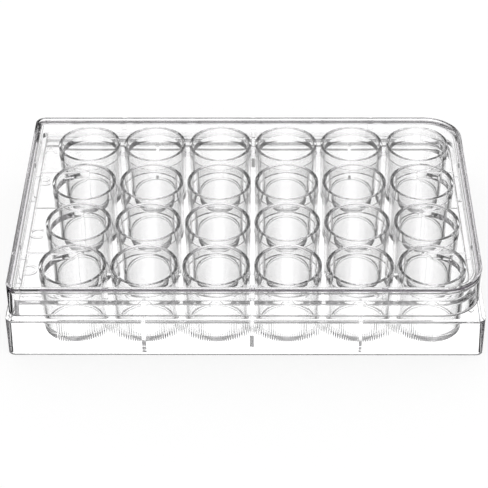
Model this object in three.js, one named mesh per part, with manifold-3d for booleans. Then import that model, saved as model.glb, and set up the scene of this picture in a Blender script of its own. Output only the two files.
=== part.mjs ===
// A 24-well culture plate with its loose lid, both moulded in clear polystyrene.
// Millimetres, +Z up. The origin is the middle of the rectangle that the plate stands on.
// Columns 1 to 6 run towards +X, and rows A to D run from +Y to -Y.

import * as THREE from 'three';
import { mergeVertices } from 'three/addons/utils/BufferGeometryUtils.js';
import Module from 'manifold-3d';

const wasm = await Module();
wasm.setup();

// Flange: the hollow foot that gives the plate its outer size
const footprintLength = 127.76;
const footprintWidth = 85.47;
const flangeHeight = 11.8;
const flangeWall = 1.4;
const flangeCornerRadius = 2.0;

// Ledge: the step from the flange in to the upper skirt, where the lid's edge sits
const ledgeAtEnds = 2.25;
const ledgeAtSides = 3.15;
const ledgeThickness = 1.2;

// Upper skirt and deck: the corners by column 1 are nearly square, those by column 6 are round
const skirtHeight = 4.8;
const skirtWall = 1.2;
const squareCornerRadius = 1.2;
const roundCornerRadius = 8.9;
const deckThickness = 1.2;

// Wells, whose bores follow from the pitch, the gap between neighbours and the wall
const columnCount = 6;
const rowCount = 4;
const wellPitch = 19.3;
const wellGap = 1.1;
const wellsOffset = 1.83;
const rimStand = 2.9;
const wellWall = 1.0;
const boreTaper = 0.3;
const boreFootChamfer = 0.5;
const wellFloor = 1.25;
const wellFootClearance = 0.85;

// Ribs under the deck, with the height of each kind's lower edge above the base
const ribThickness = 1.0;
const sideRibFoot = 0.5;
const middleRibFoot = 2.4;
const endRibFoot = 2.0;
const middleRibInset = 4.0;

// Lid
const lidClearance = 0.5;
const lidWall = 1.1;
const lidTopThickness = 0.95;
const lidHeadroom = 0.3;
const beadWidth = 1.15;
const beadHeight = 0.7;

// Pips on the ledge that carry the lid, and the gap left between them and the lid's edge
const pipSize = 1.3;
const pipHeight = 0.25;
const seatGap = 0.3;

// Spacers down the lid's inner wall, with how far they lie from the middle of each wall
const spacerWidth = 1.6;
const spacerDepth = 0.35;
const spacerHeight = 2.2;
const sideSpacerReach = 36.9;
const endSpacerReach = 19.6;

// Moulding draft of the skirt and the lid, as mm in for each mm up
const draft = 0.043;

// How far a cut runs past a face, and how deep a joined piece is sunk in its neighbour
const overrun = 1.0;
const root = 0.3;
const sharpestCorner = 0.2;

const arcSegments = 8;
const wellSegments = 24;

// Levels
const deckLevel = flangeHeight + skirtHeight;
const rimLevel = deckLevel + rimStand;
const ceilingLevel = rimLevel + lidHeadroom;
const lidTopLevel = ceilingLevel + lidTopThickness + beadHeight;
const lidEdgeLevel = flangeHeight + pipHeight + seatGap;

// Neighbouring wells stand clear of each other by the gap at their rims, and taper to the floor
const boreTopRadius = (wellPitch - wellGap) / 2 - wellWall;
const boreBottomRadius = boreTopRadius - boreTaper;

// Middle of each column and row of wells
const columns = Array.from({ length: columnCount }, (_, index) =>
  wellsOffset + (index - (columnCount - 1) / 2) * wellPitch);
const rows = Array.from({ length: rowCount }, (_, index) =>
  ((rowCount - 1) / 2 - index) * wellPitch);

// A plan is a rectangle about the origin, with one corner radius at each end
const flangePlan = {
  halfLength: footprintLength / 2,
  halfWidth: footprintWidth / 2,
  leftRadius: flangeCornerRadius,
  rightRadius: flangeCornerRadius,
};

// The upper skirt's outside where it meets the ledge
const skirtPlan = {
  halfLength: footprintLength / 2 - ledgeAtEnds,
  halfWidth: footprintWidth / 2 - ledgeAtSides,
  leftRadius: squareCornerRadius,
  rightRadius: roundCornerRadius,
};

// The same plan grown outwards, or taken in where the distance is negative
function offsetPlan(plan, distance) {
  return {
    halfLength: plan.halfLength + distance,
    halfWidth: plan.halfWidth + distance,
    leftRadius: Math.max(plan.leftRadius + distance, sharpestCorner),
    rightRadius: Math.max(plan.rightRadius + distance, sharpestCorner),
  };
}

const lidInnerPlan = offsetPlan(skirtPlan, lidClearance);
const lidOuterPlan = offsetPlan(lidInnerPlan, lidWall);

// A three.js geometry as a solid that can be joined and cut
function solidOf(geometry) {
  const plain = geometry.clone();
  plain.deleteAttribute('normal');
  plain.deleteAttribute('uv');
  const merged = mergeVertices(plain);
  return new wasm.Manifold(new wasm.Mesh({
    numProp: 3,
    vertProperties: Float32Array.from(merged.attributes.position.array),
    triVerts: Uint32Array.from(merged.index.array),
  }));
}

// A finished solid as a named three.js mesh
function meshOf(solid, name, material) {
  const { vertProperties, triVerts } = solid.getMesh();
  const geometry = new THREE.BufferGeometry();
  geometry.setAttribute('position', new THREE.BufferAttribute(vertProperties, 3));
  geometry.setIndex(new THREE.BufferAttribute(triVerts, 1));
  geometry.computeVertexNormals();
  const mesh = new THREE.Mesh(geometry, material);
  mesh.name = name;
  return mesh;
}

function joined(solids) {
  return solids.reduce((whole, solid) => whole.add(solid));
}

function outlineOf({ halfLength, halfWidth, leftRadius, rightRadius }) {
  const right = halfLength - rightRadius;
  const left = leftRadius - halfLength;
  const quarter = Math.PI / 2;
  const outline = new THREE.Shape();
  outline.absarc(right, halfWidth - rightRadius, rightRadius, 0, quarter);
  outline.absarc(left, halfWidth - leftRadius, leftRadius, quarter, 2 * quarter);
  outline.absarc(left, leftRadius - halfWidth, leftRadius, 2 * quarter, 3 * quarter);
  outline.absarc(right, rightRadius - halfWidth, rightRadius, 3 * quarter, 4 * quarter);
  outline.closePath();
  return outline;
}

// A block on a plan that holds at planLevel, whose sides lean in as they rise
function block(plan, planLevel, bottom, top, lean) {
  const geometry = new THREE.ExtrudeGeometry(outlineOf(plan), {
    depth: top - bottom,
    bevelEnabled: false,
    curveSegments: arcSegments,
  });
  geometry.translate(0, 0, bottom);
  const position = geometry.attributes.position;
  for (let i = 0; i < position.count; i += 1) {
    const inward = lean * (position.getZ(i) - planLevel);
    position.setX(i, position.getX(i) * (1 - inward / plan.halfLength));
    position.setY(i, position.getY(i) * (1 - inward / plan.halfWidth));
  }
  return solidOf(geometry);
}

function box([x0, x1], [y0, y1], [z0, z1]) {
  const geometry = new THREE.BoxGeometry(x1 - x0, y1 - y0, z1 - z0);
  geometry.translate((x0 + x1) / 2, (y0 + y1) / 2, (z0 + z1) / 2);
  return solidOf(geometry);
}

// The low and high ends of a span given by its middle and its size
function about(middle, size) {
  return [middle - size / 2, middle + size / 2];
}

// The low and high ends of a span between two places given in either order
function between(a, b) {
  return [Math.min(a, b), Math.max(a, b)];
}

// A body of revolution about the vertical through x, y, from [radius, level] points
function turned(profile, x, y) {
  const points = profile.map(([radius, level]) => new THREE.Vector2(radius, level));
  const geometry = new THREE.LatheGeometry(points, wellSegments);
  geometry.rotateX(Math.PI / 2);
  geometry.translate(x, y, 0);
  return solidOf(geometry);
}

// The outside of the flange and the upper skirt, as one solid block
function plateEnvelope() {
  const flange = block(flangePlan, 0, 0, flangeHeight, 0);
  const skirt = block(skirtPlan, flangeHeight, flangeHeight - overrun, deckLevel, draft);
  return flange.add(skirt);
}

// The space under the ledge and the deck, open at the bottom
function plateHollow() {
  const underLedge = flangeHeight - ledgeThickness;
  const underDeck = deckLevel - deckThickness;
  const lower = block(offsetPlan(flangePlan, -flangeWall), 0, -overrun, underLedge, 0);
  const upper = block(offsetPlan(skirtPlan, -skirtWall), flangeHeight,
    underLedge - overrun, underDeck, draft);
  return lower.add(upper);
}

// The outside of one well, from its underside up to its rim
function wellBody(x, y) {
  return turned([
    [0, wellFootClearance],
    [boreBottomRadius + wellWall, wellFootClearance],
    [boreTopRadius + wellWall, rimLevel],
    [0, rimLevel],
  ], x, y);
}

// The space inside one well, carried on above the rim
function wellBore(x, y) {
  const floorLevel = wellFootClearance + wellFloor;
  const taper = (boreTopRadius - boreBottomRadius) / (rimLevel - floorLevel);
  return turned([
    [0, floorLevel],
    [boreBottomRadius - boreFootChamfer, floorLevel],
    [boreBottomRadius + taper * boreFootChamfer, floorLevel + boreFootChamfer],
    [boreTopRadius + taper * overrun, rimLevel + overrun],
    [0, rimLevel + overrun],
  ], x, y);
}

// One body or bore in each place where columns and rows cross
function atEachWell(shape) {
  return joined(columns.flatMap((x) => rows.map((y) => shape(x, y))));
}

// Ribs from each long wall in to the wells of columns 2 and 5, and one at the wells' middle
function sideRibs(side) {
  const outer = side * (footprintWidth / 2 - flangeWall + root);
  const wellFace = side * (rows[0] + boreBottomRadius + root);
  const middleEnd = side * (rows[0] + middleRibInset);
  const atWells = [columns[1], columns[columnCount - 2]].map((x) =>
    box(about(x, ribThickness), between(wellFace, outer), [sideRibFoot, deckLevel]));
  const middle = box(about(wellsOffset, ribThickness), between(middleEnd, outer),
    [middleRibFoot, deckLevel]);
  return joined([...atWells, middle]);
}

// Webs that tie the wells of an end column together, and the ribs from them to the end wall
function endRibs(side) {
  const x = side < 0 ? columns[0] : columns[columnCount - 1];
  const outer = side * (footprintLength / 2 - flangeWall + root);
  const web = box(about(x, ribThickness), [rows[rowCount - 1], rows[0]], [endRibFoot, deckLevel]);
  const ribs = [wellPitch, -wellPitch].map((y) =>
    box(between(x, outer), about(y, ribThickness), [endRibFoot, deckLevel]));
  return joined([web, ...ribs]);
}

// The point on a plan's rounded corner that faces diagonally outwards
function cornerPoint(plan, sideX, sideY) {
  const radius = sideX < 0 ? plan.leftRadius : plan.rightRadius;
  const inset = radius * (1 - Math.SQRT1_2);
  return [sideX * (plan.halfLength - inset), sideY * (plan.halfWidth - inset)];
}

// A low square pip under each corner of the lid's edge
function seatPips() {
  return joined([[-1, -1], [-1, 1], [1, -1], [1, 1]].map(([sideX, sideY]) => {
    const [x, y] = cornerPoint(lidOuterPlan, sideX, sideY);
    const geometry = new THREE.BoxGeometry(pipSize, pipSize, pipHeight + root);
    geometry.rotateZ(Math.PI / 4);
    geometry.translate(x, y, flangeHeight + (pipHeight - root) / 2);
    return solidOf(geometry);
  }));
}

function buildPlate() {
  const envelope = plateEnvelope();
  const ribs = joined([sideRibs(-1), sideRibs(1), endRibs(-1), endRibs(1)]);
  return envelope
    .subtract(plateHollow())
    .add(ribs.intersect(envelope))
    .add(atEachWell(wellBody))
    .subtract(atEachWell(wellBore))
    .add(seatPips());
}

// Short upright ribs where the lid's inner wall meets its top
function lidSpacers() {
  const height = [ceilingLevel - spacerHeight, ceilingLevel + root];
  const inward = draft * (ceilingLevel - flangeHeight);
  const endFace = lidInnerPlan.halfLength - inward;
  const sideFace = lidInnerPlan.halfWidth - inward;
  const spacers = [];
  for (const side of [-1, 1]) {
    const alongSide = between(side * (sideFace - spacerDepth), side * (sideFace + root));
    for (const x of [-sideSpacerReach, wellsOffset, sideSpacerReach]) {
      spacers.push(box(about(x, spacerWidth), alongSide, height));
    }
    const alongEnd = between(side * (endFace - spacerDepth), side * (endFace + root));
    for (const y of [-endSpacerReach, endSpacerReach]) {
      spacers.push(box(alongEnd, about(y, spacerWidth), height));
    }
  }
  return joined(spacers);
}

function buildLid() {
  const topInward = draft * (lidTopLevel - flangeHeight);
  const recessPlan = offsetPlan(lidOuterPlan, -topInward - beadWidth);
  const shell = block(lidOuterPlan, flangeHeight, lidEdgeLevel, lidTopLevel, draft);
  const hollow = block(lidInnerPlan, flangeHeight, lidEdgeLevel - overrun, ceilingLevel, draft);
  const recess = block(recessPlan, lidTopLevel, lidTopLevel - beadHeight, lidTopLevel + overrun, 0);
  return shell
    .subtract(hollow)
    .subtract(recess)
    .add(lidSpacers());
}

const platePlastic = new THREE.MeshStandardMaterial({
  color: 0xf1f3f3,
  roughness: 0.05,
  metalness: 0,
  transparent: true,
  opacity: 0.35,
});

const lidPlastic = new THREE.MeshStandardMaterial({
  color: 0xf4f5f5,
  roughness: 0.04,
  metalness: 0,
  transparent: true,
  opacity: 0.3,
});

const wellPlate = new THREE.Group();
wellPlate.add(meshOf(buildPlate(), 'plate', platePlastic));
wellPlate.add(meshOf(buildLid(), 'lid', lidPlastic));

export default wellPlate;
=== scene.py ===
# The looks of a 24-well culture plate with its loose lid, both in clear polystyrene.
# Shapes are worked out in millimetres and scaled to metres when they become finished pieces.

import math

import bmesh
import bpy
from mathutils import Matrix, Vector


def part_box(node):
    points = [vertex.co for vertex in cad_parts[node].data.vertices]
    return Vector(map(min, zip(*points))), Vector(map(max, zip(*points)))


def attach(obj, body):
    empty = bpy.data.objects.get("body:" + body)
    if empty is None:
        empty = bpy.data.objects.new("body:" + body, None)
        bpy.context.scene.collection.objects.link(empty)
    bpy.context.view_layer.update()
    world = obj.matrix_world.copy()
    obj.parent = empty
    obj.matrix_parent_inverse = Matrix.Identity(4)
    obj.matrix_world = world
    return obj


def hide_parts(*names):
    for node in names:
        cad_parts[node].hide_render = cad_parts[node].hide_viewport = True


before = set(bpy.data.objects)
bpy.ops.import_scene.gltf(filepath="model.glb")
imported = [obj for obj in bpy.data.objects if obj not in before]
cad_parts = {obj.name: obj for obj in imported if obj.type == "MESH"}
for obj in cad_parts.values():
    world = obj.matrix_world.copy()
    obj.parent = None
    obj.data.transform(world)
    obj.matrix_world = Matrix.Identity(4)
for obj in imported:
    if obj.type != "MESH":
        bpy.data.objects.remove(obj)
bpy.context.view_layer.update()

MM = 0.001

PLATE_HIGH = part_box("plate")[1] / MM
LID_LOW, LID_HIGH = (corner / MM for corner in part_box("lid"))

# Flange, ledge, skirt and deck
FLANGE_HEIGHT = 11.8
FLANGE_WALL = 1.4
FLANGE_CORNER = 2.0
LEDGE_THICKNESS = 1.2
SKIRT_WALL = 1.2
DECK_HEIGHT = 16.6
DECK_THICKNESS = 1.8
DECK_BETWEEN_WELLS = 0.3
RECESS_BLOCK_HEIGHT = 3
SQUARE_CORNER = 1.2
ROUND_CORNER = 8.9
DRAFT = 0.043
FOOT_SLOPE = 0.3
FOOT_INNER_RADIUS = 0.5
FOOT_OUTER_RADIUS = 0.1
INNER_FILLET = 0.4
LEDGE_RADIUS = 0.12
LEDGE_FILLET = 0.3
DECK_RADIUS = 0.25

# Wells
COLUMNS = 6
ROWS = 4
PITCH = 19.3
WELLS_OFFSET = 1.83
RIM_HEIGHT = PLATE_HIGH.z
BORE_TOP = 8.1
BORE_BOTTOM = 7.8
WELL_WALL = 1.0
WELL_FLOOR = 1.25
WELL_FOOT = 0.85
WELL_ROOT = 0.12
WELL_HEEL = 0.45
RIM_OUTER = 0.15
RIM_INNER = 0.4
FLOOR_FILLET = 1.2

# Ribs
RIB_THICKNESS = 1.0
SIDE_RIB_FOOT = 0.5
# At the front and at the back
MIDDLE_RIB_FOOT = {-1: 2.4, 1: 8.0}
END_RIB_FOOT = 2.0
MIDDLE_RIB_INSET = 4.0
RIB_OVERLAP = 1
RIB_ROUNDING = 0.15

# Lid
LID_CLEARANCE = 0.5
LID_WALL = 1.1
LID_TOP_THICKNESS = 1.25
LID_WALL_AT_TOP = 1.45
LID_INNER_FILLET = 0.5
LID_DRAFT = 0.003
BEAD_WIDTH = 0.8
BEAD_HEIGHT = 0.5
CEILING_STEP = 0.35
CEILING_STEP_INSET = 2.2
LID_FOOT_DROP = 0.25
LID_EDGE = LID_LOW.z - LID_FOOT_DROP
LID_TOP = LID_HIGH.z
CEILING = LID_TOP - BEAD_HEIGHT - LID_TOP_THICKNESS
SEAT_GAP = 0.01
LID_FOOT_RADIUS = 0.15
LID_TOP_RADIUS = 0.12
CEILING_STEP_RADIUS = 0.1
BEAD_RADIUS = 0.25
BEAD_FILLET = 0.3

# Small uprights inside the lid's walls, with their places along the long and the short ones
SPACER_PLACES_X = (-36.9, WELLS_OFFSET, 36.9)
SPACER_PLACES_Y = (-19.6, 19.6)
SPACER_WIDTH = 1.6
SPACER_HEIGHT = 2.2
SPACER_DEPTH = 0.35
SPACER_ROUNDING = 0.12

# Pips on the ledge that the lid stands on
PIP_SIZE = 1.3
PIP_ROUNDING = 0.08

# How far a part reaches into the one that it joins
ROOT = 0.3

WELL_SEGMENTS = 80
FILLET_STEPS = 4
LEFT_CORNER_STEPS = 12
RIGHT_CORNER_STEPS = 24
SMALLEST_CORNER = 0.15
SINK = 0.005


class Plan:
    """A rectangle about the origin, with one corner radius at each end."""

    def __init__(self, half_length, half_width, left_radius, right_radius):
        self.half_length = half_length
        self.half_width = half_width
        self.left_radius = left_radius
        self.right_radius = right_radius

    def grown(self, distance):
        return Plan(
            self.half_length + distance,
            self.half_width + distance,
            max(self.left_radius + distance, SMALLEST_CORNER),
            max(self.right_radius + distance, SMALLEST_CORNER),
        )

    def ring(self, level):
        """The outline's points at a level, anticlockwise from above."""
        corners = (
            (1, 1, self.right_radius, 0, RIGHT_CORNER_STEPS),
            (-1, 1, self.left_radius, 1, LEFT_CORNER_STEPS),
            (-1, -1, self.left_radius, 2, LEFT_CORNER_STEPS),
            (1, -1, self.right_radius, 3, RIGHT_CORNER_STEPS),
        )
        points = []
        for side_x, side_y, radius, quarter, steps in corners:
            x = side_x * (self.half_length - radius)
            y = side_y * (self.half_width - radius)
            for step in range(steps + 1):
                angle = (quarter + step / steps) * math.pi / 2
                points.append((x + radius * math.cos(angle), y + radius * math.sin(angle), level))
        return points


def rounded(*corners, steps=FILLET_STEPS):
    """A path of 2-D points through the corners (a, b, radius), each turned on its radius.

    The first and last corners have no radius: they only lie on the flat faces where the path ends.
    """
    path = []
    for index, (a, b, radius) in enumerate(corners):
        here = Vector((a, b))
        if radius == 0:
            path.append(here)
            continue
        before = (Vector(corners[index - 1][:2]) - here).normalized()
        after = (Vector(corners[index + 1][:2]) - here).normalized()
        half_angle = before.angle(after) / 2
        reach = radius / math.tan(half_angle)
        middle = here + (before + after).normalized() * radius / math.sin(half_angle)
        start = here + before * reach - middle
        turn = start.angle_signed(here + after * reach - middle)
        for step in range(steps + 1):
            path.append(middle + Matrix.Rotation(-turn * step / steps, 2) @ start)
    return path


def solid(name, parts):
    """An object from one or more closed parts, each (points, faces)."""
    points = []
    faces = []
    for part_points, part_faces in parts:
        first = len(points)
        points.extend(part_points)
        faces.extend([first + corner for corner in face] for face in part_faces)
    mesh = bpy.data.meshes.new(name)
    mesh.from_pydata(points, [], faces)
    made = bpy.data.objects.new(name, mesh)
    bpy.context.scene.collection.objects.link(made)
    return made


def skinned(rings):
    """A closed part through rings of points, anticlockwise from above where the skin rises."""
    count = len(rings[0])
    points = [point for ring in rings for point in ring]
    faces = [list(range(count - 1, -1, -1))]
    for lower in range(len(rings) - 1):
        for here in range(count):
            after = (here + 1) % count
            faces.append([
                lower * count + here,
                lower * count + after,
                (lower + 1) * count + after,
                (lower + 1) * count + here,
            ])
    last = (len(rings) - 1) * count
    faces.append(list(range(last, last + count)))
    return points, faces


def turned(profile, x, y):
    """A closed part turned about the vertical through x, y."""
    rings = []
    for radius, level in profile:
        ring = []
        for step in range(WELL_SEGMENTS):
            angle = step / WELL_SEGMENTS * 2 * math.pi
            ring.append((x + radius * math.cos(angle), y + radius * math.sin(angle), level))
        rings.append(ring)
    return skinned(rings)


def slab(x_span, y_span, z_span):
    """A closed box between the ends of three spans, each given in either order."""
    x0, x1 = sorted(x_span)
    y0, y1 = sorted(y_span)
    z0, z1 = sorted(z_span)
    outline = ((x0, y0), (x1, y0), (x1, y1), (x0, y1))
    return skinned([[(x, y, z) for x, y in outline] for z in (z0, z1)])


def about(middle, size):
    return middle - size / 2, middle + size / 2


def bevelled(piece, width):
    """The piece with all its edges rounded."""
    work = bmesh.new()
    work.from_mesh(piece.data)
    bmesh.ops.bevel(
        work, geom=work.edges[:], offset=width, segments=2, profile=0.5, affect="EDGES"
    )
    work.to_mesh(piece.data)
    work.free()
    return piece


def evaluated_mesh(piece):
    """A new mesh of the piece as its modifiers or its curve make it."""
    bpy.context.view_layer.update()
    graph = bpy.context.evaluated_depsgraph_get()
    return bpy.data.meshes.new_from_object(piece.evaluated_get(graph))


def combine(piece, other, operation):
    """Joins or cuts the piece with the other, which is used up."""
    modifier = piece.modifiers.new("combine", "BOOLEAN")
    modifier.operation = operation
    modifier.solver = "MANIFOLD"
    modifier.object = other
    result = evaluated_mesh(piece)
    piece.modifiers.clear()
    piece.data = result
    bpy.data.objects.remove(other)


flange = Plan(PLATE_HIGH.x, PLATE_HIGH.y, FLANGE_CORNER, FLANGE_CORNER)
lid_outside = Plan(
    LID_HIGH.x,
    LID_HIGH.y,
    SQUARE_CORNER + LID_CLEARANCE + LID_WALL,
    ROUND_CORNER + LID_CLEARANCE + LID_WALL,
)
skirt = lid_outside.grown(-LID_CLEARANCE - LID_WALL)

columns = [WELLS_OFFSET + (index - (COLUMNS - 1) / 2) * PITCH for index in range(COLUMNS)]
rows = [((ROWS - 1) / 2 - index) * PITCH for index in range(ROWS)]


def lean(level):
    """How far a drafted wall has come in at a level."""
    return DRAFT * (level - FLANGE_HEIGHT)


def plate_shell():
    """The flange, ledge, skirt and deck, as one skin from the deck's underside to its top."""
    under_ledge = FLANGE_HEIGHT - LEDGE_THICKNESS
    under_deck = DECK_HEIGHT - DECK_THICKNESS
    inner = -SKIRT_WALL
    inside = rounded(
        (inner - 2 - lean(under_deck), under_deck, 0),
        (inner - lean(under_deck), under_deck, INNER_FILLET),
        (inner, under_ledge, LEDGE_FILLET),
        (inner + 0.8, under_ledge, 0),
    )
    foot = rounded(
        (-FLANGE_WALL - 0.6, under_ledge, 0),
        (-FLANGE_WALL, under_ledge, INNER_FILLET),
        (-FLANGE_WALL + FOOT_SLOPE, 0, FOOT_INNER_RADIUS),
        (0, 0, FOOT_OUTER_RADIUS),
        (0, FLANGE_HEIGHT, LEDGE_RADIUS),
        (-1, FLANGE_HEIGHT, 0),
    )
    outside = rounded(
        (0.8, FLANGE_HEIGHT, 0),
        (0, FLANGE_HEIGHT, LEDGE_FILLET),
        (-lean(DECK_HEIGHT), DECK_HEIGHT, DECK_RADIUS),
        (-lean(DECK_HEIGHT) - 1.2, DECK_HEIGHT, 0),
    )
    rings = [skirt.grown(offset).ring(level) for offset, level in inside]
    rings += [flange.grown(offset).ring(level) for offset, level in foot]
    rings += [skirt.grown(offset).ring(level) for offset, level in outside]
    return solid("clear_plate", [skinned(rings)])


def deck_recess():
    """A block that thins the deck from below, between the wells."""
    level = DECK_HEIGHT - DECK_BETWEEN_WELLS
    levels = (level - RECESS_BLOCK_HEIGHT, level)
    return solid("deck_recess", [slab((columns[0], columns[-1]), (rows[0], rows[-1]), levels)])


def well_bodies():
    """The wells' outsides, which come out to a flat band inside the deck to join it."""
    top = BORE_TOP + WELL_WALL
    bottom = BORE_BOTTOM + WELL_WALL
    slope = (top - bottom) / (RIM_HEIGHT - WELL_FOOT)
    under = DECK_HEIGHT - DECK_BETWEEN_WELLS + SINK
    deck = DECK_HEIGHT - SINK
    under_radius = bottom + slope * (under - WELL_FOOT)
    deck_radius = bottom + slope * (deck - WELL_FOOT)
    profile = rounded(
        (bottom - 2, WELL_FOOT, 0),
        (bottom, WELL_FOOT, WELL_HEEL),
        (under_radius, under, WELL_ROOT),
        (under_radius + ROOT, under, 0),
        (deck_radius + ROOT, deck, 0),
        (deck_radius, deck, WELL_ROOT),
        (top, RIM_HEIGHT, RIM_OUTER),
        (top - 0.3, RIM_HEIGHT, 0),
    )
    return solid("well_bodies", [turned(profile, x, y) for x in columns for y in rows])


def well_bores():
    """The room inside the wells, wider over the rims to round their inner edges."""
    floor = WELL_FOOT + WELL_FLOOR
    mouth = BORE_TOP + RIM_INNER + 0.05
    profile = rounded(
        (BORE_BOTTOM - 2, floor, 0),
        (BORE_BOTTOM, floor, FLOOR_FILLET),
        (BORE_TOP, RIM_HEIGHT + SINK, RIM_INNER),
        (mouth, RIM_HEIGHT + SINK, 0),
        (mouth, RIM_HEIGHT + 1, 0),
    )
    return solid("well_bores", [turned(profile, x, y) for x in columns for y in rows])


def ribs():
    """Lists of ribs, where those in one list stay clear of each other."""
    ledge_middle = FLANGE_HEIGHT - LEDGE_THICKNESS / 2
    deck_middle = DECK_HEIGHT - DECK_THICKNESS / 2
    deck_inside = DECK_HEIGHT - DECK_BETWEEN_WELLS / 2
    well_face = (BORE_TOP + BORE_BOTTOM + WELL_WALL) / 2
    flange_y = flange.half_width - FLANGE_WALL / 2
    flange_x = flange.half_length - FLANGE_WALL / 2
    skirt_y = skirt.half_width - SKIRT_WALL / 2
    skirt_x = skirt.half_length - SKIRT_WALL / 2
    upper_levels = (ledge_middle - RIB_OVERLAP, deck_middle)
    lower = []
    upper = []
    for side in (-1, 1):
        for x in (columns[1], columns[-2]):
            start = side * (rows[0] + well_face)
            across = about(x, RIB_THICKNESS)
            lower.append(slab(across, (start, side * flange_y), (SIDE_RIB_FOOT, ledge_middle)))
            upper.append(slab(across, (start, side * skirt_y), upper_levels))
        across = about(WELLS_OFFSET, RIB_THICKNESS)
        start = side * (rows[0] + MIDDLE_RIB_INSET)
        lower.append(slab(across, (start, side * flange_y), (MIDDLE_RIB_FOOT[side], ledge_middle)))
        upper.append(slab(across, (start, side * skirt_y), upper_levels))
    webs = []
    for column, side in ((columns[0], -1), (columns[-1], 1)):
        for index in range(ROWS - 1):
            span = (rows[index] - well_face, rows[index + 1] + well_face)
            webs.append(slab(about(column, RIB_THICKNESS), span, (END_RIB_FOOT, deck_inside)))
        for y in (PITCH, -PITCH):
            across = about(y, RIB_THICKNESS)
            lower.append(slab((column, side * flange_x), across, (END_RIB_FOOT, ledge_middle)))
            upper.append(slab((column, side * skirt_x), across, upper_levels))
    return lower, upper, webs


GRIP_HALF_LENGTH = 50.2
GRIP_PITCH = 0.6
GRIP_DEPTH = 0.07
GRIP_STEPS = 6
GRIP_LEVELS = (0.5, FLANGE_HEIGHT - 0.55)
GRIP_CLEAR = 0.01


def grip_cutter():
    """Two slabs with a waved face, which leave fine upright grooves in the long faces."""
    count = round(2 * GRIP_HALF_LENGTH / GRIP_PITCH) * GRIP_STEPS
    wave = []
    for index in range(count + 1):
        x = -GRIP_HALF_LENGTH + index * GRIP_PITCH / GRIP_STEPS
        phase = 2 * math.pi * index / GRIP_STEPS
        depth = (GRIP_DEPTH + GRIP_CLEAR) * (1 - math.cos(phase)) / 2
        wave.append((x, flange.half_width + GRIP_CLEAR - depth))
    parts = []
    for side in (-1, 1):
        outline = [(-x * side, y * side) for x, y in wave]
        outline.append((-side * wave[-1][0], side * (flange.half_width + 1)))
        outline.append((-side * wave[0][0], side * (flange.half_width + 1)))
        outline.reverse()
        parts.append(skinned([[(x, y, z) for x, y in outline] for z in GRIP_LEVELS]))
    return solid("grip_cutter", parts)


def lid_lean(level):
    """How far the lid's drafted outside has come in at a level."""
    return LID_DRAFT * (level - LID_EDGE)


def lid_shell():
    """The lid's top and walls, as one skin from the ceiling to the panel."""
    panel = LID_TOP - BEAD_HEIGHT
    bead_inner = -lid_lean(LID_TOP) - BEAD_WIDTH
    path = rounded(
        (-CEILING_STEP_INSET - 1, CEILING, 0),
        (-CEILING_STEP_INSET, CEILING, CEILING_STEP_RADIUS),
        (-CEILING_STEP_INSET, CEILING - CEILING_STEP, CEILING_STEP_RADIUS),
        (-LID_WALL_AT_TOP, CEILING - CEILING_STEP, LID_INNER_FILLET),
        (-LID_WALL, LID_EDGE, LID_FOOT_RADIUS),
        (0, LID_EDGE, LID_FOOT_RADIUS),
        (-lid_lean(LID_TOP), LID_TOP, LID_TOP_RADIUS),
        (bead_inner, LID_TOP, BEAD_RADIUS),
        (bead_inner, panel, BEAD_FILLET),
        (bead_inner - 1.5, panel, 0),
    )
    rings = [lid_outside.grown(offset).ring(level) for offset, level in path]
    return solid("clear_lid", [skinned(rings)])


def lid_spacers():
    levels = (CEILING - SPACER_HEIGHT, CEILING + ROOT)
    inside = lid_outside.grown(-LID_WALL_AT_TOP)
    parts = []
    for side in (-1, 1):
        for x in SPACER_PLACES_X:
            face = inside.half_width
            depth = (side * (face - SPACER_DEPTH), side * (face + ROOT))
            parts.append(slab(about(x, SPACER_WIDTH), depth, levels))
        for y in SPACER_PLACES_Y:
            face = inside.half_length
            depth = (side * (face - SPACER_DEPTH), side * (face + ROOT))
            parts.append(slab(depth, about(y, SPACER_WIDTH), levels))
    return bevelled(solid("lid_spacers", parts), SPACER_ROUNDING)


def seat_pips():
    levels = (FLANGE_HEIGHT - ROOT, LID_EDGE - SEAT_GAP)
    reach = PIP_SIZE * math.sqrt(0.5)
    parts = []
    for side_x in (-1, 1):
        for side_y in (-1, 1):
            radius = lid_outside.left_radius if side_x < 0 else lid_outside.right_radius
            inset = radius * (1 - math.sqrt(0.5))
            x = side_x * (lid_outside.half_length - inset)
            y = side_y * (lid_outside.half_width - inset)
            outline = ((x, y - reach), (x + reach, y), (x, y + reach), (x - reach, y))
            parts.append(skinned([[(px, py, z) for px, py in outline] for z in levels]))
    return bevelled(solid("seat_pips", parts), PIP_ROUNDING)


LETTER_SIZE = 6.2
LETTER_HEIGHT = 0.25
LETTER_X = -58.2
# How far each letter stands behind the middle of its row
LETTER_SHIFTS = {"A": 0.7, "B": 3.8, "C": -2.2, "D": 0.7}
WELD_DISTANCE = 1e-4


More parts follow.
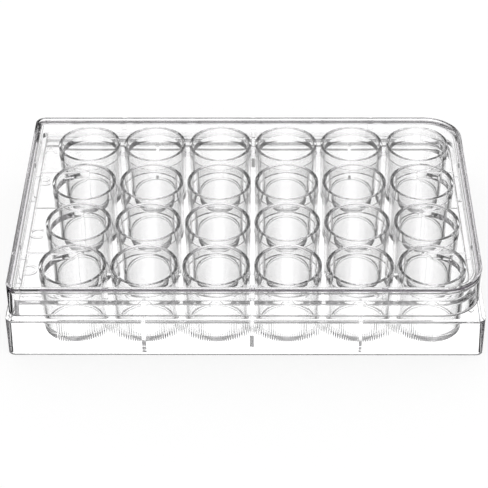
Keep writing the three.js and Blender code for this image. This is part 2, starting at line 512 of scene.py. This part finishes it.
def row_letters():
    """Raised row letters on the deck's wide margin."""
    parts = []
    for (letter, shift), y in zip(LETTER_SHIFTS.items(), rows):
        curve = bpy.data.curves.new(letter, "FONT")
        curve.body = letter
        curve.size = LETTER_SIZE
        curve.extrude = LETTER_HEIGHT
        curve.resolution_u = 6
        curve.align_x = "CENTER"
        curve.align_y = "CENTER"
        text = bpy.data.objects.new(letter, curve)
        bpy.context.scene.collection.objects.link(text)
        mesh = evaluated_mesh(text)
        work = bmesh.new()
        work.from_mesh(mesh)
        bmesh.ops.remove_doubles(work, verts=work.verts, dist=WELD_DISTANCE)
        bmesh.ops.recalc_face_normals(work, faces=work.faces)
        bmesh.ops.translate(work, verts=work.verts, vec=(LETTER_X, y + shift, DECK_HEIGHT))
        parts.append((
            [tuple(v.co) for v in work.verts],
            [[v.index for v in face.verts] for face in work.faces],
        ))
        work.free()
        bpy.data.objects.remove(text)
        bpy.data.meshes.remove(mesh)
    return solid("row_letters", parts)


SHARP_ANGLE = math.radians(32)


def finished(piece, node):
    """Scales a piece to metres, smooths its shading and puts it in the frame."""
    work = bmesh.new()
    work.from_mesh(piece.data)
    bmesh.ops.remove_doubles(work, verts=work.verts, dist=WELD_DISTANCE)
    bmesh.ops.scale(work, vec=(MM, MM, MM), verts=work.verts)
    for face in work.faces:
        face.smooth = True
    for edge in work.edges:
        edge.smooth = len(edge.link_faces) == 2 and edge.calc_face_angle(math.pi) < SHARP_ANGLE
    work.to_mesh(piece.data)
    work.free()
    weighted = piece.modifiers.new("flat faces stay flat", "WEIGHTED_NORMAL")
    weighted.mode = "FACE_AREA"
    weighted.weight = 50
    weighted.keep_sharp = True
    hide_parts(node)
    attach(piece, "root")
    return piece


def build_plate():
    plate = plate_shell()
    combine(plate, deck_recess(), "DIFFERENCE")
    for index, parts in enumerate(ribs()):
        combine(plate, bevelled(solid(f"ribs_{index}", parts), RIB_ROUNDING), "UNION")
    combine(plate, well_bodies(), "UNION")
    combine(plate, well_bores(), "DIFFERENCE")
    combine(plate, grip_cutter(), "DIFFERENCE")
    combine(plate, seat_pips(), "UNION")
    combine(plate, row_letters(), "UNION")
    return finished(plate, "plate")


def build_lid():
    lid = lid_shell()
    combine(lid, lid_spacers(), "UNION")
    return finished(lid, "lid")


POLYSTYRENE_IOR = 1.59
DEPTH_TINT = (0.08, 0.02, 0.1)
PLATE_DEPTH = 4
LID_DEPTH = 22
HAZE_SCALE = 60
HAZE_ROUGHNESS = 0.03
STREAK_ROUGHNESS = 0.05
# Fine across the flow and long along it, for the plate's upright walls and for the lid's top
PLATE_STREAKS = (900, 900, 30)
LID_STREAKS = (30, 900, 900)


def clear_plastic(name, depth_density, streak_scale):
    """Polystyrene with a faint haze, and finer streaks the way the melt has flowed."""
    material = bpy.data.materials.new(name)
    material.use_nodes = True
    nodes = material.node_tree.nodes
    links = material.node_tree.links
    shader = nodes["Principled BSDF"]
    shader.inputs["Base Color"].default_value = (1, 1, 1, 1)
    shader.inputs["IOR"].default_value = POLYSTYRENE_IOR
    shader.inputs["Transmission Weight"].default_value = 1
    coordinates = nodes.new("ShaderNodeTexCoord")
    haze = nodes.new("ShaderNodeTexNoise")
    haze.inputs["Scale"].default_value = HAZE_SCALE
    haze.inputs["Detail"].default_value = 4
    links.new(coordinates.outputs["Object"], haze.inputs["Vector"])
    flow = nodes.new("ShaderNodeMapping")
    flow.inputs["Scale"].default_value = streak_scale
    links.new(coordinates.outputs["Object"], flow.inputs["Vector"])
    streaks = nodes.new("ShaderNodeTexNoise")
    streaks.inputs["Scale"].default_value = 1
    streaks.inputs["Detail"].default_value = 3
    links.new(flow.outputs["Vector"], streaks.inputs["Vector"])
    parts = []
    layers = ((haze, 0.0, 1.0, HAZE_ROUGHNESS), (streaks, 0.55, 0.8, STREAK_ROUGHNESS))
    for texture, low, high, roughest in layers:
        spread = nodes.new("ShaderNodeMapRange")
        spread.inputs["From Min"].default_value = low
        spread.inputs["From Max"].default_value = high
        spread.inputs["To Max"].default_value = roughest
        links.new(texture.outputs["Fac"], spread.inputs["Value"])
        parts.append(spread.outputs["Result"])
    roughness = nodes.new("ShaderNodeMath")
    roughness.operation = "ADD"
    links.new(parts[0], roughness.inputs[0])
    links.new(parts[1], roughness.inputs[1])
    links.new(roughness.outputs[0], shader.inputs["Roughness"])
    depth = nodes.new("ShaderNodeVolumeAbsorption")
    depth.inputs["Color"].default_value = (*DEPTH_TINT, 1)
    depth.inputs["Density"].default_value = depth_density
    links.new(depth.outputs["Volume"], nodes["Material Output"].inputs["Volume"])
    return material


plate = build_plate()
lid = build_lid()
plate.data.materials.clear()
plate.data.materials.append(clear_plastic("plate_polystyrene", PLATE_DEPTH, PLATE_STREAKS))
lid.data.materials.clear()
lid.data.materials.append(clear_plastic("lid_polystyrene", LID_DEPTH, LID_STREAKS))


# Studio
FLOOR_HALF = 3
FLOOR_DROP = 0.0002
FLOOR_WHITE = 0.85
# How much of what the camera sees of the floor is its own glow, and how strong that is
FLOOR_GLOW_SHARE = 0.8
FLOOR_GLOW = 1.04


def white_floor():
    """White paper. Rays that have met the plastic pass it and see the world below instead."""
    mesh = bpy.data.meshes.new("floor")
    half = FLOOR_HALF
    corners = [(-half, -half, 0), (half, -half, 0), (half, half, 0), (-half, half, 0)]
    mesh.from_pydata(corners, [], [(0, 1, 2, 3)])
    floor = bpy.data.objects.new("floor", mesh)
    floor.location.z = -FLOOR_DROP
    bpy.context.scene.collection.objects.link(floor)
    material = bpy.data.materials.new("floor_white")
    material.use_nodes = True
    nodes = material.node_tree.nodes
    links = material.node_tree.links
    nodes.clear()
    rays = nodes.new("ShaderNodeLightPath")
    card = nodes.new("ShaderNodeBsdfDiffuse")
    card.inputs["Color"].default_value = (FLOOR_WHITE, FLOOR_WHITE, FLOOR_WHITE, 1)
    glow = nodes.new("ShaderNodeEmission")
    glow.inputs["Strength"].default_value = FLOOR_GLOW
    share = nodes.new("ShaderNodeMath")
    share.operation = "MULTIPLY"
    share.inputs[1].default_value = FLOOR_GLOW_SHARE
    links.new(rays.outputs["Is Camera Ray"], share.inputs[0])
    paper = nodes.new("ShaderNodeMixShader")
    links.new(share.outputs[0], paper.inputs["Fac"])
    links.new(card.outputs[0], paper.inputs[1])
    links.new(glow.outputs[0], paper.inputs[2])
    through_plastic = nodes.new("ShaderNodeMath")
    through_plastic.operation = "MAXIMUM"
    links.new(rays.outputs["Is Glossy Ray"], through_plastic.inputs[0])
    links.new(rays.outputs["Is Transmission Ray"], through_plastic.inputs[1])
    clear = nodes.new("ShaderNodeBsdfTransparent")
    surface = nodes.new("ShaderNodeMixShader")
    links.new(through_plastic.outputs[0], surface.inputs["Fac"])
    links.new(paper.outputs[0], surface.inputs[1])
    links.new(clear.outputs[0], surface.inputs[2])
    output = nodes.new("ShaderNodeOutputMaterial")
    links.new(surface.outputs[0], output.inputs["Surface"])
    mesh.materials.append(material)


# Levels all round, by height, from 0 at the nadir to 1 at the zenith
ROUND_LEVELS = ((0.0, 1.0), (0.45, 1.0), (0.52, 0.4), (0.62, 0.25), (0.85, 0.25), (1.0, 0.2))
# How dark the cards at the left and right are by height, on the same scale: all but the ends
CARD_BAND = ((0.03, 0.0), (0.1, 1.0), (0.9, 1.0), (1.0, 0.0))
# How clear of the cards a direction is, as it turns from the sides (0) to the front or back (1)
CARD_LEVELS = ((0.0, 0.0), (0.6, 0.0), (0.8, 0.5), (0.94, 1.0))
# Glossy and transmitted rays see the world at the first level, or at the second before any reflection
WORLD_STRENGTH = 1.33
STRAIGHT_LEVEL = 1.33
# The sockets of a Mix node of numbers
MIX_FACTOR, MIX_A, MIX_B = 0, 2, 3


def ramp(nodes, stops):
    """A grey colour ramp through stops of (place, level)."""
    made = nodes.new("ShaderNodeValToRGB")
    elements = made.color_ramp.elements
    while len(elements) < len(stops):
        elements.new(0.5)
    for element, (place, level) in zip(elements, stops):
        element.position = place
        element.color = (level, level, level, 1)
    return made


def maths(nodes, links, operation, first, second=None):
    """The output of a Math node, whose inputs are numbers or other sockets."""
    made = nodes.new("ShaderNodeMath")
    made.operation = operation
    for socket, value in zip(made.inputs, (first, second)):
        if isinstance(value, (int, float)):
            socket.default_value = value
        elif value is not None:
            links.new(value, socket)
    return made.outputs[0]


def studio_world():
    """White below the horizon and dim above it, with dark cards at the left and right.

    Only rays that have been reflected see this. The rest see plain white all round.
    """
    world = bpy.data.worlds.new("studio")
    bpy.context.scene.world = world
    world.use_nodes = True
    nodes = world.node_tree.nodes
    links = world.node_tree.links
    coordinates = nodes.new("ShaderNodeTexCoord")
    split = nodes.new("ShaderNodeSeparateXYZ")
    links.new(coordinates.outputs["Generated"], split.inputs[0])
    x, y, z = split.outputs
    squares = [maths(nodes, links, "MULTIPLY", side, side) for side in (x, y)]
    across = maths(nodes, links, "SQRT", maths(nodes, links, "ADD", *squares))
    facing = maths(nodes, links, "DIVIDE", maths(nodes, links, "ABSOLUTE", y), across)
    place = maths(nodes, links, "MULTIPLY", maths(nodes, links, "ADD", z, 1), 0.5)
    round_level = ramp(nodes, ROUND_LEVELS)
    links.new(place, round_level.inputs["Fac"])
    band = ramp(nodes, CARD_BAND)
    links.new(place, band.inputs["Fac"])
    card = ramp(nodes, CARD_LEVELS)
    links.new(facing, card.inputs["Fac"])
    dimmed = maths(nodes, links, "MULTIPLY", band.outputs["Color"], maths(
        nodes, links, "SUBTRACT", 1, card.outputs["Color"]
    ))
    level = maths(nodes, links, "MULTIPLY", round_level.outputs["Color"], maths(
        nodes, links, "SUBTRACT", 1, dimmed
    ))
    lit = maths(nodes, links, "MULTIPLY", level, WORLD_STRENGTH)
    rays = nodes.new("ShaderNodeLightPath")
    plain = maths(
        nodes, links, "MAXIMUM", rays.outputs["Is Camera Ray"], rays.outputs["Is Diffuse Ray"]
    )
    straight = maths(nodes, links, "LESS_THAN", rays.outputs["Glossy Depth"], 0.5)
    through = nodes.new("ShaderNodeMix")
    links.new(straight, through.inputs[MIX_FACTOR])
    links.new(lit, through.inputs[MIX_A])
    through.inputs[MIX_B].default_value = STRAIGHT_LEVEL
    shown = nodes.new("ShaderNodeMix")
    links.new(plain, shown.inputs[MIX_FACTOR])
    links.new(through.outputs[0], shown.inputs[MIX_A])
    shown.inputs[MIX_B].default_value = 1
    links.new(shown.outputs[0], nodes["Background"].inputs["Color"])


white_floor()
studio_world()

# Camera
LENS = 127.65
SENSOR = 36
CAMERA_AZIMUTH = math.radians(0.775)
CAMERA_ELEVATION = math.radians(37.311)
CAMERA_ROLL = math.radians(-0.443)
CAMERA_DISTANCE = 0.4716
CAMERA_TARGET = Vector((-0.00044, -0.01976, 0.0201))

camera_data = bpy.data.cameras.new("camera")
camera_data.lens = LENS
camera_data.sensor_width = SENSOR
camera_data.clip_start = 0.01
camera = bpy.data.objects.new("camera", camera_data)
bpy.context.scene.collection.objects.link(camera)
bpy.context.scene.camera = camera
back = Vector((
    math.sin(CAMERA_AZIMUTH) * math.cos(CAMERA_ELEVATION),
    -math.cos(CAMERA_AZIMUTH) * math.cos(CAMERA_ELEVATION),
    math.sin(CAMERA_ELEVATION),
))
right = Vector((math.cos(CAMERA_AZIMUTH), math.sin(CAMERA_AZIMUTH), 0))
axes = Matrix((right, back.cross(right), back)).transposed()
turn = axes @ Matrix.Rotation(CAMERA_ROLL, 3, "Z")
camera.matrix_world = Matrix.Translation(CAMERA_TARGET + back * CAMERA_DISTANCE) @ turn.to_4x4()

scene = bpy.context.scene
scene.view_settings.view_transform = "Standard"
scene.cycles.max_bounces = 64
scene.cycles.glossy_bounces = 48
scene.cycles.transmission_bounces = 64
scene.cycles.transparent_max_bounces = 16
